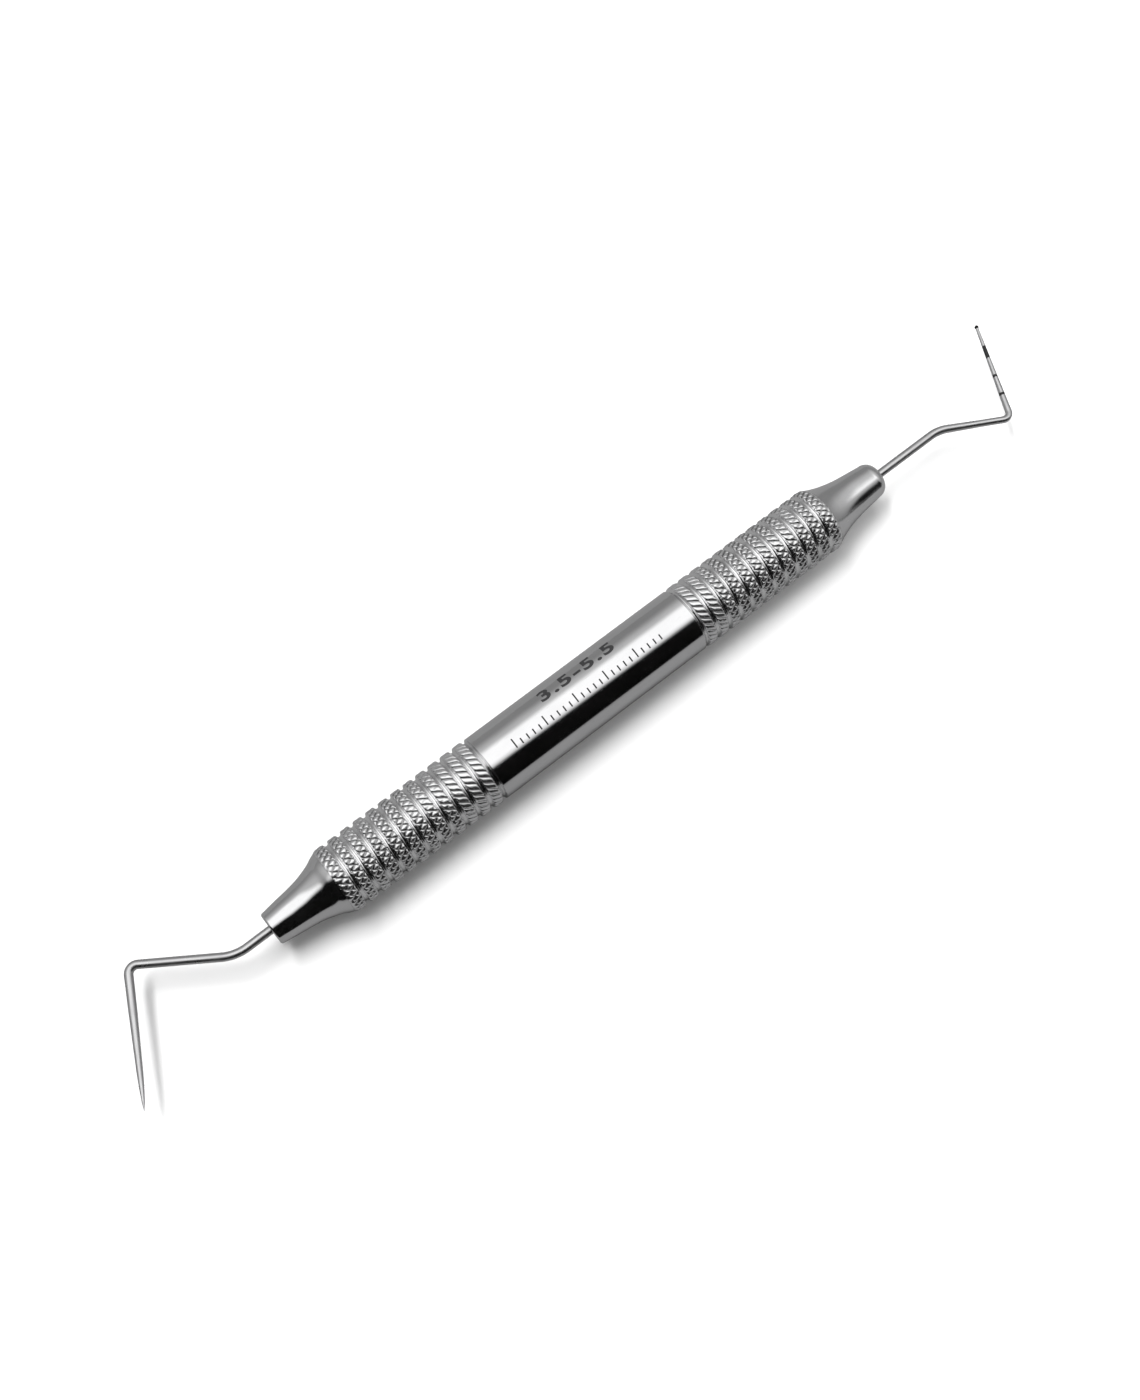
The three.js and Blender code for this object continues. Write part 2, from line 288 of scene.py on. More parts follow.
def revolve(outline, sides):
    """Points and faces of a body turned about X: closed over its axis if the outline ends
    there, and a ring otherwise."""
    solid = outline[0][1] == 0
    rows = outline[1:-1] if solid else outline
    turn = np.linspace(0, 2 * math.pi, sides, endpoint=False)
    x, r = (np.array([row[k] for row in rows], float)[:, None] for k in (0, 1))
    points = np.stack([x + 0 * turn, -r * np.sin(turn), r * np.cos(turn)], -1).reshape(-1, 3)
    faces = grid_faces(len(rows), sides, closed=not solid)
    if solid:
        first, last = len(points), len(points) + 1
        points = np.vstack([points, (outline[0][0], 0, 0), (outline[-1][0], 0, 0)])
        end = (len(rows) - 1) * sides
        for j in range(sides):
            k = (j + 1) % sides
            faces.append((first, j, k))
            faces.append((last, end + k, end + j))
    return points, faces


def grid_faces(rows, sides, closed):
    faces = []
    for i in range(rows if closed else rows - 1):
        a, b = i * sides, (i + 1) % rows * sides
        for j in range(sides):
            k = (j + 1) % sides
            faces.append((a + j, b + j, b + k, a + k))
    return faces


def make_piece(name, points, faces, finish, straight=None, crease=50):
    """A closed mesh that rides on the frame. `straight` is where its points were before
    bending, in millimetres from the axis: textures follow it."""
    mesh = bpy.data.meshes.new(name)
    placed = (np.asarray(points) + (BARREL_MIDDLE, 0, AXIS)) * MM
    mesh.from_pydata(placed.tolist(), [], faces)
    turned = mesh.attributes.new("turned", "FLOAT_VECTOR", "POINT")
    source = points if straight is None else straight
    turned.data.foreach_set("vector", np.asarray(source, np.float32).ravel())
    mesh.shade_smooth()
    mesh.set_sharp_from_angle(angle=math.radians(crease))
    if mesh.validate():
        raise ValueError(f"{name} had faces that Blender repaired")
    mesh.materials.append(finish)
    piece = bpy.data.objects.new(name, mesh)
    bpy.context.scene.collection.objects.link(piece)
    face_out(piece)
    return piece


def face_out(piece):
    """Turns the mesh right side out, from the sign of its volume."""
    mesh = piece.data
    mesh.calc_loop_triangles()
    corners = np.empty(len(mesh.loop_triangles) * 3, np.int32)
    mesh.loop_triangles.foreach_get("vertices", corners)
    co = np.empty(len(mesh.vertices) * 3)
    mesh.vertices.foreach_get("co", co)
    a, b, c = (co.reshape(-1, 3)[corners.reshape(-1, 3)[:, k]] for k in range(3))
    if (a * np.cross(b, c)).sum() < 0:
        mesh.flip_normals()


def stand_for(piece, node):
    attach(piece, "root")
    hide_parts(node)


def add_float(piece, name, values):
    layer = piece.data.attributes.new(name, "FLOAT", "POINT")
    layer.data.foreach_set("value", np.asarray(values, np.float32).ravel())


# ---------------------------------------------------------------- materials

class Nodes:
    """A small helper that adds and links nodes in one tree."""

    def __init__(self, tree):
        self.tree = tree

    def node(self, kind, inputs=(), **settings):
        made = self.tree.nodes.new(kind)
        for key, value in settings.items():
            setattr(made, key, value)
        for socket, value in dict(inputs).items():
            self.feed(made, socket, value)
        return made

    def feed(self, node, socket, value):
        if isinstance(value, bpy.types.NodeSocket):
            self.tree.links.new(value, node.inputs[socket])
        else:
            node.inputs[socket].default_value = value

    def ramp(self, value, low, high, to_low, to_high, curve="LINEAR"):
        inputs = {"Value": value, "From Min": low, "From Max": high, "To Min": to_low,
                  "To Max": to_high}
        return self.node("ShaderNodeMapRange", inputs,
                         interpolation_type=curve).outputs["Result"]

    def smooth(self, value, low, high, to_low, to_high):
        return self.ramp(value, low, high, to_low, to_high, "SMOOTHSTEP")

    def math(self, operation, a, b):
        return self.node("ShaderNodeMath", {0: a, 1: b}, operation=operation).outputs[0]

    def total(self, *terms):
        """The sum of (weight, value) terms, each value a socket or a number."""
        sum_so_far = 0.0
        for weight, value in terms:
            inputs = {0: value, 1: float(weight), 2: sum_so_far}
            sum_so_far = self.node("ShaderNodeMath", inputs, operation="MULTIPLY_ADD").outputs[0]
        return sum_so_far

    def product(self, first, *others):
        for other in others:
            first = self.math("MULTIPLY", first, other)
        return first

    def length(self, a, b, least=0):
        """The length of a flat vector."""
        squares = [(1, self.math("MULTIPLY", value, value)) for value in (a, b)]
        return self.math("SQRT", self.total(*squares, (1, least)), 0)

    def mix(self, factor, a, b):
        inputs = {0: factor, 6: (*a, 1) if isinstance(a, tuple) else a,
                  7: (*b, 1) if isinstance(b, tuple) else b}
        return self.node("ShaderNodeMix", inputs, data_type="RGBA").outputs[2]


class Shader(Nodes):
    """A material, its nodes and its main shader."""

    def __init__(self, name):
        self.material = bpy.data.materials.new(name)
        self.material.use_nodes = True
        super().__init__(self.material.node_tree)
        self.surface = self.tree.nodes["Principled BSDF"]

    def set(self, **values):
        for socket, value in values.items():
            self.feed(self.surface, socket.replace("_", " "), value)

    def place(self):
        """Where the surface was on the unbent body, in millimetres."""
        return self.node("ShaderNodeAttribute", attribute_name="turned").outputs["Vector"]

    def noise(self, stretch, detail=3.0, roughness=0.5):
        """Noise on the unbent body, with a stretch along it and one across."""
        along, across = stretch
        scale = {"Vector": self.place(), "Scale": (along, across, across)}
        inputs = {"Vector": self.node("ShaderNodeMapping", scale).outputs["Vector"],
                  "Scale": 1.0, "Detail": detail, "Roughness": roughness}
        return self.node("ShaderNodeTexNoise", inputs).outputs["Fac"]

    def bump(self, height, distance_mm):
        inputs = {"Height": height, "Distance": distance_mm * MM, "Strength": 1.0}
        return self.node("ShaderNodeBump", inputs).outputs["Normal"]


def shade(colour, factor):
    return tuple(min(1, c * factor) for c in colour)


def polished_steel(name, base, roughness, lines):
    """Turned and polished steel: fine lines round the axis, faint smears and scratches."""
    s = Shader(name)
    turning = s.noise((lines, 0.25), detail=4, roughness=0.6)
    smear = s.noise((0.22, 0.45), detail=3)
    scratch = s.noise((0.9, 14), detail=2, roughness=0.4)
    fine_scratch = s.ramp(scratch, 0.66, 0.74, 0, 1)
    tone = s.mix(s.ramp(smear, 0.3, 0.7, 0, 1), shade(base, 0.96), shade(base, 1.03))
    toned = s.mix(s.math("MULTIPLY", fine_scratch, 0.35), tone, shade(base, 0.8))
    rough = s.ramp(smear, 0.3, 0.75, roughness * 0.85, roughness * 1.25)
    rough = s.math("ADD", rough, s.math("MULTIPLY", fine_scratch, 0.1))
    height = s.math("ADD", turning, s.math("MULTIPLY", fine_scratch, -0.8))
    s.set(Base_Color=toned, Metallic=1.0, Roughness=rough, Normal=s.bump(height, 0.0012))
    return s.material


def knurled_steel(name):
    """Steel with crests painted brighter than the steel, in random patches, as a painted sheen,
    and duller valleys painted darker, as painted shade.
    """
    s = Shader(name)
    cut = s.node("ShaderNodeAttribute", attribute_name="cut").outputs["Fac"]
    knurl = s.node("ShaderNodeAttribute", attribute_name="knurl").outputs["Fac"]
    grain = s.noise((9, 9), detail=4, roughness=0.6)
    patch = s.noise((0.5, 0.5), detail=2)
    # painted shade: how deep a valley is cut pulls its colour down to 0.46 of the steel, so the
    # hollows look shaded
    depth = s.ramp(s.math("ADD", cut, s.ramp(grain, 0.3, 0.7, -0.12, 0.12)), 0.3, 0.85, 0, 1)
    # painted sheen: the crests are painted 1.10 to 1.22 times as bright as the steel, in random
    # patches
    painted_sheen_crest = s.mix(s.ramp(patch, 0.35, 0.65, 0, 1), shade(STEEL, 1.10), shade(STEEL, 1.22))
    colour = s.mix(depth, painted_sheen_crest, shade(STEEL, 0.46))
    rough = s.math("ADD", s.ramp(knurl, 0, 1, 0.13, 0.27), s.math("MULTIPLY", depth, -0.05))
    height = s.math("ADD", grain, s.noise((26, 1.2), detail=2))
    s.set(Base_Color=colour, Metallic=1.0, Roughness=rough, Normal=s.bump(height, 0.004))
    return s.material


def drawn_wire(name, dark_from=None):
    """Spring steel, polished lengthwise: long faint streaks and a little haze. It may be
    darkened from a distance along it."""
    s = Shader(name)
    streak = s.noise((0.4, 16), detail=3, roughness=0.55)
    haze = s.noise((0.6, 0.8), detail=2)
    base = s.mix(s.ramp(streak, 0.35, 0.65, 0, 1), shade(STEEL, 0.74), shade(STEEL, 0.94))
    if dark_from:
        along = s.node("ShaderNodeSeparateXYZ", {"Vector": s.place()}).outputs["X"]
        base = s.mix(s.smooth(along, dark_from, dark_from + 0.12, 0, 1), base, (0.02, 0.02, 0.02))
    rough = s.ramp(haze, 0.3, 0.7, 0.25, 0.36)
    s.set(Base_Color=base, Metallic=1.0, Roughness=rough, Normal=s.bump(streak, 0.0015))
    return s.material


def silver_braze(name):
    s = Shader(name)
    flow = s.noise((3, 3), detail=4, roughness=0.6)
    base = s.mix(s.ramp(flow, 0.35, 0.65, 0, 1), (0.5, 0.47, 0.4), (0.66, 0.63, 0.56))
    rough = s.ramp(flow, 0.3, 0.7, 0.3, 0.5)
    s.set(Base_Color=base, Metallic=1.0, Roughness=rough, Normal=s.bump(flow, 0.02))
    return s.material


def black_fill(name, low, high, rough):
    """Baked or laser-blackened marking: nearly black, with worn specks."""
    s = Shader(name)
    speck = s.noise((11, 11), detail=4, roughness=0.7)
    wear = s.ramp(speck, 0.6, 0.75, 0, 1)
    base = s.mix(wear, (low, low, low * 1.04), (high, high, high))
    dull = s.ramp(speck, 0.3, 0.7, rough - 0.08, rough + 0.1)
    s.set(Base_Color=base, Metallic=0.0, Roughness=dull, Normal=s.bump(speck, 0.003))
    return s.material


# ---------------------------------------------------------------- handle

def build_barrel(finish):
    """The tube, with half of a ring groove at each shoulder; the grips have the other half."""
    spigot_end = BARREL_HALF + GRIP_LENGTH - SPIGOT_SHORTER
    half_groove = [(BARREL_HALF - GROOVE_HALF_WIDTH * math.cos(turn),
                    BARREL_RADIUS - BARREL_GROOVE_DEPTH * math.sin(turn))
                   for turn in np.linspace(0, math.pi / 2, 9)]
    right = [
        (BARREL_HALF - GROOVE_HALF_WIDTH - 0.1, BARREL_RADIUS),
        *half_groove,
        (BARREL_HALF, SPIGOT_RADIUS),
        (spigot_end, SPIGOT_RADIUS),
        (spigot_end, TUBE_BORE_RADIUS),
    ]
    corners = [(0, TUBE_BORE_RADIUS), *mirrored(right), (0, BARREL_RADIUS), *right,
               (0, TUBE_BORE_RADIUS)]
    outline = with_round_edges(corners, BARREL_EDGE, 2)[:-1]
    piece = make_piece("barrel", *revolve(outline, 256), finish)
    stand_for(piece, "barrel_tube")


def groove_offset(back):
    """How far a ring groove lies below the crests, at a distance from its middle."""
    share = np.clip(back / GROOVE_HALF_WIDTH, -1, 1)
    return GROOVE_DEPTH * np.sqrt(1 - share ** 2)


def grip_stations():
    """Distances from the barrel's shoulder: rows close together, with one on each edge."""
    turn = np.linspace(-math.pi / 2, math.pi / 2, ROWS_PER_GROOVE + 1)
    across = GROOVE_HALF_WIDTH * np.sin(turn)
    rows = list(across[across >= 0] + FIT)
    for groove in range(1, GRIP_SEGMENTS + 1):
        centre = groove * GRIP_PITCH
        land_end = centre - GROOVE_HALF_WIDTH if groove < GRIP_SEGMENTS else GRIP_LENGTH
        rows += list(np.linspace(rows[-1], land_end, ROWS_PER_LAND + 1)[1:])
        if groove < GRIP_SEGMENTS:
            rows += list(centre + across[1:])
    return np.array(rows)


def wander(x, angle, seed):
    """A smooth random field from -1 to 1 on the handle's surface."""
    draw = np.random.default_rng(seed)
    total = 0
    for _ in range(7):
        waves, phase = draw.uniform(-0.9, 0.9), draw.uniform(0, 2 * math.pi)
        total = total + np.sin(waves * x + draw.integers(1, 5) * angle + phase)
    return total / 4


def smoothstep(x, low, high):
    t = np.clip((x - low) / (high - low), 0, 1)
    return t * t * (3 - 2 * t)


def rib_cut(place):
    """Share of the full depth cut away, for a place counted in ribs: round ribs side by side,
    with a sharp valley at each whole number."""
    across = 2 * np.abs(place % 1 - 0.5)
    return 1 - np.sqrt(1 - np.minimum(across, 1) ** 2)


def knurl_cut(x, angle, crossed):
    """What the two families of knurled lines cut away together. The second family's valleys
    are wider."""
    first = rib_cut(RIBS * (angle - RIB_LEAD * x) / (2 * math.pi) + 1e-9)
    second = 1.05 * np.abs(np.cos(RIBS * (angle + RIB_LEAD * x) / 2)) ** 4
    return (first ** 3 + (crossed * second) ** 3) ** (1 / 3)


def from_groove(distance):
    """How far a station of a grip is from the middle of its nearest groove."""
    nearest = np.minimum(np.round(distance / GRIP_PITCH), GRIP_SEGMENTS - 1) * GRIP_PITCH
    return np.abs(distance - nearest)


def knurled_radius(x, angle, distance, side, shoulder, crossing):
    """A grip's radius, and the share of the knurl's depth cut away, at each of its points.
    The second family of ribs fades in over the distances in `crossing`."""
    to_groove = from_groove(distance)
    land = smoothstep(to_groove, GROOVE_HALF_WIDTH, GROOVE_HALF_WIDTH + LAND_EDGE_WIDTH)
    outer_fade = smoothstep(GRIP_LENGTH - distance, 0.0, OUTER_FADE)
    crossed = smoothstep(distance, *crossing)
    crossed = np.clip(crossed * (1 + CROSSED_WANDER * wander(x, angle, 5 + side)), 0, 1)
    depth = RIB_DEPTH * (1 + DEPTH_WANDER * wander(x, angle, 11 + side)) * outer_fade
    cut = knurl_cut(x, angle, crossed)

    envelope = np.interp(distance, [k[0] for k in shoulder], [k[1] for k in shoulder])
    radius = envelope - LAND_EDGE_DEPTH * (1 - land) - np.minimum(depth * cut, DEEPEST)
    groove = envelope - np.where(to_groove < GROOVE_HALF_WIDTH, groove_offset(to_groove), 0)
    knurled = np.where(to_groove > GROOVE_HALF_WIDTH, 1.0, 0.0) * outer_fade
    return np.minimum(radius, groove), cut * knurled, knurled


def build_grip(name, node, side, shoulder, crossing, finish):
    """A knurled sleeve. Its columns run along the first family of ribs, which wind the same
    way round on both grips."""
    back = grip_stations()
    turn = np.linspace(0, 2 * math.pi, COLUMNS, endpoint=False)
    distance = back[:, None] + 0 * turn
    x = side * (BARREL_HALF + back)[:, None] + 0 * turn
    angle = turn[None, :] + RIB_LEAD * x
    radius, cut, knurled = knurled_radius(x, angle, distance, side, shoulder, crossing)

    bore = np.full((1, COLUMNS), GRIP_BORE_RADIUS)
    radius = np.vstack([bore, radius, bore])
    x = np.vstack([x[:1], x, x[-1:]])
    angle = np.vstack([angle[:1], angle, angle[-1:]])
    points = np.stack([x, -radius * np.sin(angle), radius * np.cos(angle)], -1)
    faces = grid_faces(len(x), COLUMNS, closed=True)
    piece = make_piece(name, points.reshape(-1, 3), faces, finish, crease=65)
    bare = np.zeros((1, COLUMNS))
    add_float(piece, "cut", np.vstack([bare, cut, bare]))
    add_float(piece, "knurl", np.vstack([bare, knurled, bare]))
    stand_for(piece, node)


def cone_outline(end, front):
    plug = with_round_edges([
        (CONE_BASE - PLUG_LENGTH, 0),
        (CONE_BASE - PLUG_LENGTH, PLUG_RADIUS),
        (CONE_BASE, PLUG_RADIUS),
    ], PLUG_EDGE)
    bore = [(end, TANG_BORE_RADIUS + TANG_BORE_CHAMFER),
            (end - TANG_BORE_CHAMFER, TANG_BORE_RADIUS),
            (end - TANG_BORE_DEPTH, TANG_BORE_RADIUS), (end - TANG_BORE_DEPTH, 0)]
    return [*plug, *front, *bore]


def build_cone(name, node, outline, finish):
    piece = make_piece(name, *revolve(outline, 192), finish)
    stand_for(piece, node)


def build_square_cone(finish):
    edge = quarter_round(EXPLORER_CONE_END - EXPLORER_CONE_EDGE, EXPLORER_CONE_EDGE,
                         EXPLORER_CONE_FACE, EXPLORER_CONE_EDGE, 10)
    outline = cone_outline(EXPLORER_CONE_END, smooth_outline(EXPLORER_CONE_SIDE, 60) + edge)
    build_cone("cone_square_ended", "cone_explorer", mirrored(outline), finish)


def build_domed_cone(finish):
    dome = quarter_round(PROBE_DOME_START, PROBE_CONE_END - PROBE_DOME_START,
                         PROBE_CONE_FACE, PROBE_DOME_RADIUS - PROBE_CONE_FACE, 18)
    outline = cone_outline(PROBE_CONE_END, smooth_outline(PROBE_CONE_SIDE, 60) + dome)
    build_cone("cone_domed", "cone_probe", outline, finish)


# ---------------------------------------------------------------- working ends

def tapered(knots):
    """Radius along a wire, between knots of (distance, radius)."""
    return lambda d: float(np.interp(d, [k[0] for k in knots], [k[1] for k in knots]))


def build_wire(name, node, outline, pieces, finish, sides=40, crease=50):
    straight, faces = revolve(outline, sides)
    piece = make_piece(name, bend_along(straight, pieces), faces, finish, straight, crease)
    stand_for(piece, node)


def build_explorer(finish):
    pieces = centre_line(EXPLORER_PATH, EXPLORER_BEND_RADII)
    end = line_length(pieces)
    knots = [(0, WIRE_RADIUS), (end - 17.2, WIRE_RADIUS), (end - 13, 0.56), (end - 9, 0.49),
             (end - 5, 0.41), (end - 3.1, 0.34), (end - 1.1, 0.19), (end - 0.08, 0.03)]
    radius = tapered(knots)
    along = [d for d in stations(pieces, 0.5, [k[0] for k in knots[1:]]) if 0.2 < d < end - 0.07]
    outline = [*TANG_INNER_FACE]
    outline += [(d, radius(d)) for d in along] + [(end - 0.01, 0)]
    build_wire("wire_explorer", "explorer_tip", outline, pieces, finish)


def probe_taper(pieces):
    ball = line_length(pieces)
    end = ball + BALL_RADIUS
    return tapered([
        (0, WIRE_RADIUS), (ball - 25, WIRE_RADIUS), (ball - 19, 0.5), (ball - 14.5, 0.49),
        (end - 11.5, 0.42), (end - 8.5, 0.35), (end - 4.5, 0.285), (end - 0.9, NECK_RADIUS),
        (end, NECK_RADIUS),
    ])


def build_probe(finish):
    """The wire, with recesses for its marks, and the ball at its end."""
    pieces = centre_line(PROBE_PATH, PROBE_BEND_RADII)
    ball = line_length(pieces)
    end = ball + BALL_RADIUS
    radius = probe_taper(pieces)
    spans = [(end - far, end - near) for _, near, far in MARKS.values()]
    neck = math.asin(NECK_RADIUS / BALL_RADIUS)
    neck_end = ball - BALL_RADIUS * math.cos(neck)
    rows = []
    for d in stations(pieces, 0.5, [end - 0.9]):
        if 0.2 < d < neck_end - 0.03 and not any(a - 0.02 < d < b + 0.02 for a, b in spans):
            rows.append((d, radius(d)))
    for a, b in spans:
        rows += [(a - 1e-4, radius(a)), (a, radius(a) - MARK_DEPTH),
                 (b, radius(b) - MARK_DEPTH), (b + 1e-4, radius(b))]
    outline = [*TANG_INNER_FACE, *sorted(rows)]
    for i in range(25):
        turn = neck + (math.pi - neck) * i / 25
        outline.append((ball - BALL_RADIUS * math.cos(turn), BALL_RADIUS * math.sin(turn)))
    outline.append((end, 0))
    build_wire("wire_probe", "probe_tip", outline, pieces, finish, crease=60)


def build_marks(finish):
    """The probe's black band and rings, each a sleeve set flush in its recess."""
    pieces = centre_line(PROBE_PATH, PROBE_BEND_RADII)
    end = line_length(pieces) + BALL_RADIUS
    radius = probe_taper(pieces)
    for name, (node, near, far) in MARKS.items():
        a, b = end - far + MARK_GAP, end - near - MARK_GAP
        floor = MARK_DEPTH - MARK_GAP
        corners = [(a, radius(a) - floor), (a, radius(a)), (b, radius(b)),
                   (b, radius(b) - floor), (a, radius(a) - floor)]
        outline = with_round_edges(corners, 0.02, 2)[:-1]
        build_wire(name, node, outline, pieces, finish)


def build_collars(finish):
    """The braze round each tang, with a hollow front just inside the cone's mouth."""
    for name, node, cone_end, turn in (
        ("braze_explorer", "braze_collar_explorer", EXPLORER_CONE_END, mirrored),
        ("braze_probe", "braze_collar_probe", PROBE_CONE_END, list),
    ):
        bore = WIRE_RADIUS + FIT
        front = cone_end - COLLAR_RECESS
        dish = [(front - COLLAR_DISH * math.sin(math.pi * i / 8),
                 COLLAR_RADIUS + (bore - COLLAR_RADIUS) * i / 8) for i in range(9)]
        outline = [(COLLAR_INNER_END, bore), (COLLAR_INNER_END, COLLAR_RADIUS), *dish]
        piece = make_piece(name, *revolve(turn(outline), 64), finish)
        stand_for(piece, node)


# ---------------------------------------------------------------- markings on the barrel

def flat_digits(text):
    """Thin closed digits from the built-in font, from -1/2 to 1/2 along X and Y and 0 to 1 in
    Z, cut into strips so that they can be laid round the barrel."""
    curve = bpy.data.curves.new("digits", "FONT")
    curve.body = text
    curve.extrude = 0.5
    curve.offset = 0.03
    curve.space_character = 1.15
    source = bpy.data.objects.new("digits", curve)
    bpy.context.scene.collection.objects.link(source)
    graph = bpy.context.evaluated_depsgraph_get()
    digits = bmesh.new()
    digits.from_mesh(source.evaluated_get(graph).to_mesh())
    bpy.data.objects.remove(source)
    bmesh.ops.remove_doubles(digits, verts=digits.verts, dist=1e-4)
    tall = [v.co.y for v in digits.verts]
    for y in np.linspace(min(tall), max(tall), STRIPS + 1)[1:-1]:
        everything = [*digits.verts, *digits.edges, *digits.faces]
        bmesh.ops.bisect_plane(digits, geom=everything, plane_co=(0, y, 0), plane_no=(0, 1, 0))
    bmesh.ops.triangulate(digits, faces=digits.faces)
    digits.verts.index_update()
    points = np.array([v.co for v in digits.verts])
    faces = [tuple(v.index for v in face.verts) for face in digits.faces]
    digits.free()
    low, high = points.min(0), points.max(0)
    return (points - low) / (high - low) - (0.5, 0.5, 0), faces


def lay_on_barrel(name, flat, faces, angle, finish):
    """A flat marking, from 0 to 1 in height, laid on the barrel at an angle round it."""
    laid = []
    for x, across, lift in flat:
        turn = angle - across / BARREL_RADIUS
        radius = BARREL_RADIUS + MARKING_PROUD - MARKING_THICK * (1 - lift)
        laid.append((x, -radius * math.sin(turn), radius * math.cos(turn)))
    piece = make_piece(name, laid, faces, finish)
    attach(piece, "root")


def add_box(points, faces, x, y):
    """A thin closed box between two values of x and of y, cut into strips across."""
    first = len(points)
    for i in range(STRIPS + 1):
        across = y[0] + (y[1] - y[0]) * i / STRIPS
        for at, lift in ((x[0], 0), (x[1], 0), (x[1], 1), (x[0], 1)):
            points.append((at, across, lift))
    for i in range(STRIPS):
        a, b = first + 4 * i, first + 4 * (i + 1)
        for j in range(4):
            k = (j + 1) % 4
            faces.append((a + j, a + k, b + k, b + j))
    last = first + 4 * STRIPS
    faces.append((first, first + 3, first + 2, first + 1))
    faces.append((last, last + 1, last + 2, last + 3))


def build_number(finish):
    """A generic number beside the scale: the span of the probe's black band."""
    flat, faces = flat_digits(NUMBER)
    sized = [(NUMBER_MIDDLE + x * NUMBER_LENGTH, y * NUMBER_HEIGHT, z) for x, y, z in flat]
    lay_on_barrel("number_on_barrel", sized, faces, NUMBER_ANGLE, finish)


def build_scale(finish):
    """A generic millimetre scale along the barrel."""
    points, faces = [], []
    for i in range(int(SCALE_TO - SCALE_FROM) + 1):
        x = SCALE_FROM + i
        top = LONG_TICK_TOP if i % 5 == 0 else TICK_TOP
        add_box(points, faces, (x - TICK_WIDTH / 2, x + TICK_WIDTH / 2), (TICK_FOOT, top))
    lay_on_barrel("scale_on_barrel", points, faces, SCALE_ANGLE, finish)


# ---------------------------------------------------------------- studio

def build_camera():
    data = bpy.data.cameras.new("camera")
    data.lens = CAMERA_LENS
    data.clip_start, data.clip_end = 0.01, 10
    camera = bpy.data.objects.new("camera", data)
    back = Vector((
        math.sin(CAMERA_AZIMUTH) * math.cos(CAMERA_ELEVATION),
        -math.cos(CAMERA_AZIMUTH) * math.cos(CAMERA_ELEVATION),
        math.sin(CAMERA_ELEVATION),
    ))
    camera.location = (Vector(CAMERA_TARGET) + back * CAMERA_DISTANCE) * MM
    camera.rotation_mode = "QUATERNION"
    camera.rotation_quaternion = (-back).to_track_quat("-Z", "Y")
    bpy.context.scene.collection.objects.link(camera)
    bpy.context.scene.camera = camera


def build_floor():
    """Pale paper. What the steel mirrors of it is painted duller, as painted shade, and painted
    black towards the camera's side.
    """
    mesh = bpy.data.meshes.new("floor")
    corners = [(-1, -1), (1, -1), (1, 1), (-1, 1)]
    mesh.from_pydata([(x * FLOOR_HALF, y * FLOOR_HALF, 0) for x, y in corners],
                     [], [(0, 1, 2, 3)])
    s = Shader("floor_paper")
    s.set(Base_Color=(0.8, 0.8, 0.8, 1), Roughness=0.9, Specular_IOR_Level=0.0)
    place = s.node("ShaderNodeNewGeometry").outputs["Position"]
    y = s.node("ShaderNodeSeparateXYZ", {"Vector": place}).outputs["Y"]
    # painted shade in the reflection: mirrored rays see the paper at 0.22, painted black towards
    # -Y on the camera's side
    tone = s.mix(s.smooth(y, -0.12, -0.025, 0, 1), (0.0, 0.0, 0.0), (0.22, 0.22, 0.22))
    painted_shade_mirror = s.node("ShaderNodeBsdfDiffuse", {"Color": tone})
    seen = s.node("ShaderNodeLightPath").outputs["Is Glossy Ray"]
    both = s.node("ShaderNodeMixShader", {0: seen, 1: s.surface.outputs[0],
                                          2: painted_shade_mirror.outputs[0]})
    s.feed(s.tree.nodes["Material Output"], "Surface", both.outputs[0])
    mesh.materials.append(s.material)
    floor = bpy.data.objects.new("floor", mesh)
    bpy.context.scene.collection.objects.link(floor)


def area_light(name, direction, distance, size, power, turn):
    """A light for the floor alone: the steel mirrors the world and the floor instead."""
    data = bpy.data.lights.new(name, "AREA")
    data.shape = "RECTANGLE"
    data.size, data.size_y = size
    data.energy = power
    lamp = bpy.data.objects.new(name, data)
    towards = Vector(direction).normalized()
    lamp.location = towards * distance
    lamp.rotation_mode = "QUATERNION"
    turned = Quaternion((0, 0, 1), turn)
    lamp.rotation_quaternion = towards.to_track_quat("Z", "Y") @ turned
    lamp.visible_glossy = False
    lamp.visible_camera = False
    bpy.context.scene.collection.objects.link(lamp)


def picture_angles(s):
    """The direction that a ray leaves in, as two angles in degrees from straight up: to the
    camera's right and away from it."""
    direction = s.node("ShaderNodeTexCoord").outputs["Generated"]
    split = s.node("ShaderNodeSeparateXYZ", {"Vector": direction})
    x, y, z = (split.outputs[k] for k in range(3))
    from_up = s.math("MULTIPLY", s.math("ARCCOSINE", z, 0), 180 / math.pi)
    spread = s.math("DIVIDE", from_up, s.length(x, y, 1e-6))
    turn, side = math.cos(CAMERA_AZIMUTH), math.sin(CAMERA_AZIMUTH)
    right = s.math("MULTIPLY", s.total((turn, x), (side, y)), spread)
    far = s.math("MULTIPLY", s.total((turn, y), (-side, x)), spread)
    return right, far


def softbox_share(s, right, far):
    """1 inside the soft light overhead, 0 outside it."""
    beyond = s.math("MAXIMUM", s.total((1, right), (1, -28.0)), 0)
    lower = s.total((1, far), (-0.19, right), (-0.5, beyond))
    upper = s.total((1, far), (0.25, s.math("ABSOLUTE", right, 0)), (0.15, right))
    return s.product(s.smooth(right, -47, -30, 0, 1), s.smooth(right, 46, 72, 1, 0),
                     s.smooth(lower, -23, -4, 0, 1), s.smooth(upper, 24, 40, 1, 0))


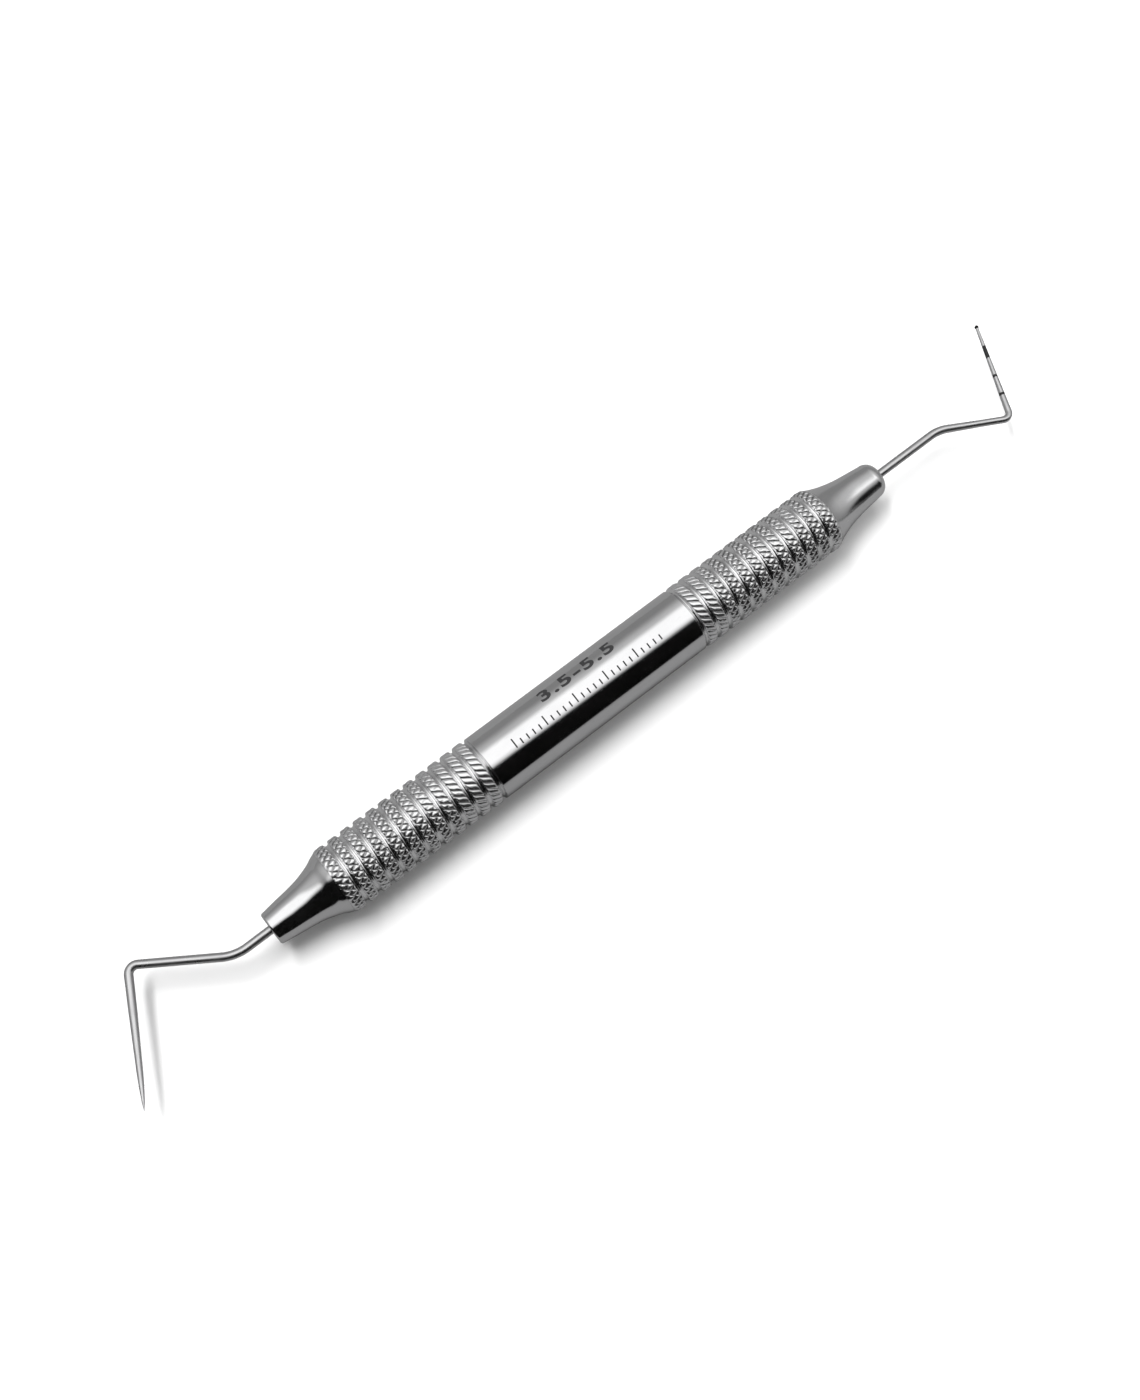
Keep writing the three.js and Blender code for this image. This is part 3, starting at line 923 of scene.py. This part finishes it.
def room_tone(s, right, far):
    """Walls that are paler towards the soft light, and dark behind the camera."""
    from_box = s.length(s.total((0.6, right)), s.total((1, far), (1, -12.0)))
    walls = s.smooth(from_box, 22, 56, 0.68, 0.28)
    dark = s.product(s.smooth(s.total((1, far), (-0.2, right)), -26, -14, 1, 0),
                     s.smooth(right, 78, 96, 1, 0), s.smooth(right, -95, -70, 0, 1))
    return s.math("MULTIPLY", walls, s.total((1, 1.0), (-0.995, dark)))


def build_world():
    """What the steel mirrors, by direction. The camera sees plain white, and the floor gets a
    little plain light from all round."""
    world = bpy.data.worlds.new("studio")
    world.use_nodes = True
    bpy.context.scene.world = world
    s = Nodes(world.node_tree)
    right, far = picture_angles(s)
    box = softbox_share(s, right, far)
    room = room_tone(s, right, far)
    glow = s.math("MULTIPLY", box, s.total((1, SOFTBOX_GLOW), (-1, room)))
    seen = s.total((1, room), (1, glow))
    path = s.node("ShaderNodeLightPath")
    flat = s.ramp(path.outputs["Is Diffuse Ray"], 0, 1, 1.0, AMBIENT)
    strength = s.node("ShaderNodeMix", {0: path.outputs["Is Glossy Ray"], 2: flat, 3: seen})
    background = s.tree.nodes["Background"]
    s.feed(background, "Strength", strength.outputs[0])
    s.feed(background, "Color", (1, 1, 1, 1))


def build_studio():
    build_camera()
    build_floor()
    build_world()
    for light in LIGHTS:
        area_light(*light)
    view = bpy.context.scene.view_settings
    view.view_transform = "Standard"
    view.look = "None"


# ---------------------------------------------------------------- everything

def build():
    barrel_steel = polished_steel("polished_steel_barrel", STEEL, 0.08, 9)
    bright = polished_steel("polished_steel_cone_square", STEEL, 0.09, 14)
    satin = polished_steel("polished_steel_cone_domed", STEEL, 0.15, 14)
    knurl = knurled_steel("knurled_steel")
    ball_from = line_length(centre_line(PROBE_PATH, PROBE_BEND_RADII)) - BALL_RADIUS
    black = black_fill("black_fill", 0.008, 0.05, 0.5)
    laser = black_fill("laser_marking", 0.02, 0.07, 0.6)
    build_barrel(barrel_steel)
    build_grip("grip_explorer", "grip_sleeve_explorer", -1,
               [(0, CREST), (23.4, CREST), (23.7, 4.72), (GRIP_LENGTH, 4.57)], (3.5, 11), knurl)
    build_grip("grip_probe", "grip_sleeve_probe", 1,
               [(0, CREST), (23.4, CREST), (23.7, 4.69), (GRIP_LENGTH, 4.52)], (1.8, 6.5), knurl)
    build_square_cone(bright)
    build_domed_cone(satin)
    build_explorer(drawn_wire("wire_steel_explorer"))
    build_probe(drawn_wire("wire_steel_probe", ball_from))
    build_marks(black)
    build_collars(silver_braze("silver_braze"))
    build_scale(laser)
    build_number(laser)
    build_studio()


build()
